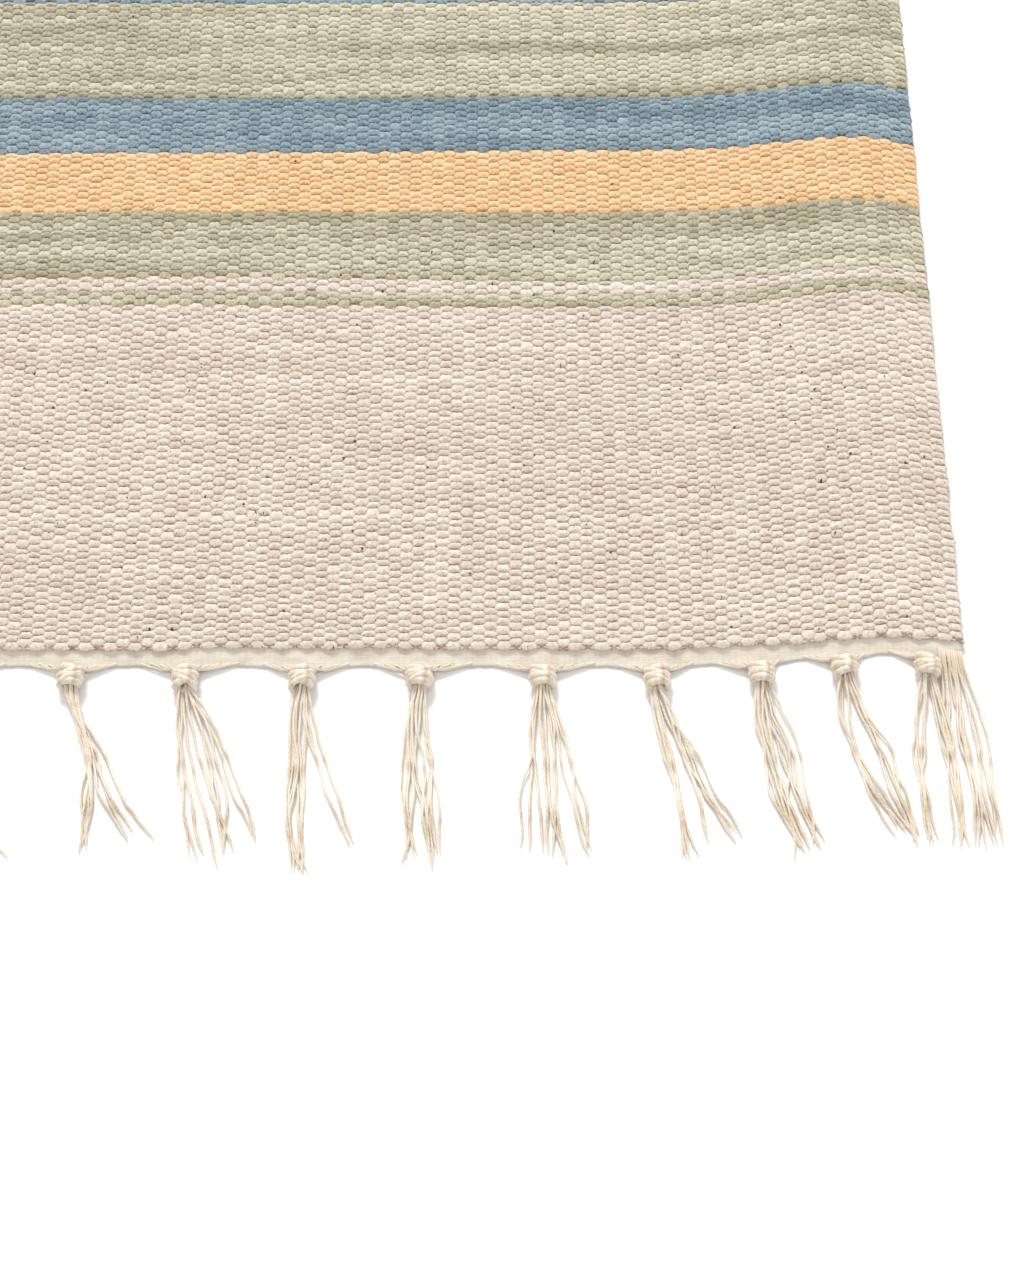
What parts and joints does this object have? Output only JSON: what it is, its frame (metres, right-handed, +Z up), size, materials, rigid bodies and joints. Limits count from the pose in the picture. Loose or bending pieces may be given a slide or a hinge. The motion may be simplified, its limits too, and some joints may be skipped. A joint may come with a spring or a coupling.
{
  "type": "runner rug",
  "caption": "Flat-woven striped cotton runner rug with a knotted fringe at both ends, which lies flat, folds and rolls out in a hall or beside a bed.",
  "frame": {"origin": "middle of the underside, on the floor, at the middle of the rug's length and width", "axes": "+X across the rug, +Y along it from the front end to the back end, +Z up out of its face"},
  "size_m": [0.6, 1.9544, 0.0075],
  "materials": {
    "cream_cotton": "matte",
    "sage_cotton": "matte",
    "apricot_cotton": "matte",
    "blue_cotton": "matte",
    "header_cotton": "matte",
    "fringe_cotton": "matte",
    "warp_cotton": "matte"
  },
  "bodies": {
    "front_end": {"cream_weft_front_end": "cream_cotton", "sage_weft_front_end": "sage_cotton", "apricot_weft_front_end": "apricot_cotton", "blue_weft_front_end": "blue_cotton", "warp_yarns_front_end": "warp_cotton", "selvedge_cords_front_end": "warp_cotton", "header_front": "header_cotton"},
    "front_middle": {"cream_weft_front_middle": "cream_cotton", "sage_weft_front_middle": "sage_cotton", "apricot_weft_front_middle": "apricot_cotton", "blue_weft_front_middle": "blue_cotton", "warp_yarns_front_middle": "warp_cotton", "selvedge_cords_front_middle": "warp_cotton"},
    "back_middle": {"cream_weft_back_middle": "cream_cotton", "sage_weft_back_middle": "sage_cotton", "apricot_weft_back_middle": "apricot_cotton", "blue_weft_back_middle": "blue_cotton", "warp_yarns_back_middle": "warp_cotton", "selvedge_cords_back_middle": "warp_cotton"},
    "back_end": {"cream_weft_back_end": "cream_cotton", "sage_weft_back_end": "sage_cotton", "apricot_weft_back_end": "apricot_cotton", "blue_weft_back_end": "blue_cotton", "warp_yarns_back_end": "warp_cotton", "selvedge_cords_back_end": "warp_cotton", "header_back": "header_cotton"},
    "front_fringe": {"tassel_01_front": "fringe_cotton", "tassel_02_front": "fringe_cotton", "tassel_03_front": "fringe_cotton", "tassel_04_front": "fringe_cotton", "tassel_05_front": "fringe_cotton", "tassel_06_front": "fringe_cotton", "tassel_07_front": "fringe_cotton", "tassel_08_front": "fringe_cotton", "tassel_09_front": "fringe_cotton", "tassel_10_front": "fringe_cotton", "tassel_11_front": "fringe_cotton", "tassel_12_front": "fringe_cotton", "tassel_13_front": "fringe_cotton", "tassel_14_front": "fringe_cotton", "tassel_15_front": "fringe_cotton", "tassel_16_front": "fringe_cotton", "loose_selvedge_ends_front": "fringe_cotton"},
    "back_fringe": {"tassel_01_back": "fringe_cotton", "tassel_02_back": "fringe_cotton", "tassel_03_back": "fringe_cotton", "tassel_04_back": "fringe_cotton", "tassel_05_back": "fringe_cotton", "tassel_06_back": "fringe_cotton", "tassel_07_back": "fringe_cotton", "tassel_08_back": "fringe_cotton", "tassel_09_back": "fringe_cotton", "tassel_10_back": "fringe_cotton", "tassel_11_back": "fringe_cotton", "tassel_12_back": "fringe_cotton", "tassel_13_back": "fringe_cotton", "tassel_14_back": "fringe_cotton", "tassel_15_back": "fringe_cotton", "tassel_16_back": "fringe_cotton", "loose_selvedge_ends_back": "fringe_cotton"}
  },
  "joints": [
    {"name": "fold_middle", "type": "hinge", "parent": "front_middle", "child": "back_middle", "pos_m": [0, 0, 0.0134], "axis": [1, 0, 0], "range_deg": [0, 180]},
    {"name": "fold_front_end", "type": "hinge", "parent": "front_middle", "child": "front_end", "pos_m": [0, -0.504, 0.0062], "axis": [-1, 0, 0], "range_deg": [0, 180]},
    {"name": "fold_back_end", "type": "hinge", "parent": "back_middle", "child": "back_end", "pos_m": [0, 0.504, 0.0062], "axis": [1, 0, 0], "range_deg": [0, 180]},
    {"name": "fringe_front_flip", "type": "hinge", "parent": "front_end", "child": "front_fringe", "pos_m": [0, -0.9056, 0.0042], "axis": [1, 0, 0], "range_deg": [-135, 0]},
    {"name": "fringe_back_flip", "type": "hinge", "parent": "back_end", "child": "back_fringe", "pos_m": [0, 0.9056, 0.0042], "axis": [-1, 0, 0], "range_deg": [-135, 0]}
  ]
}
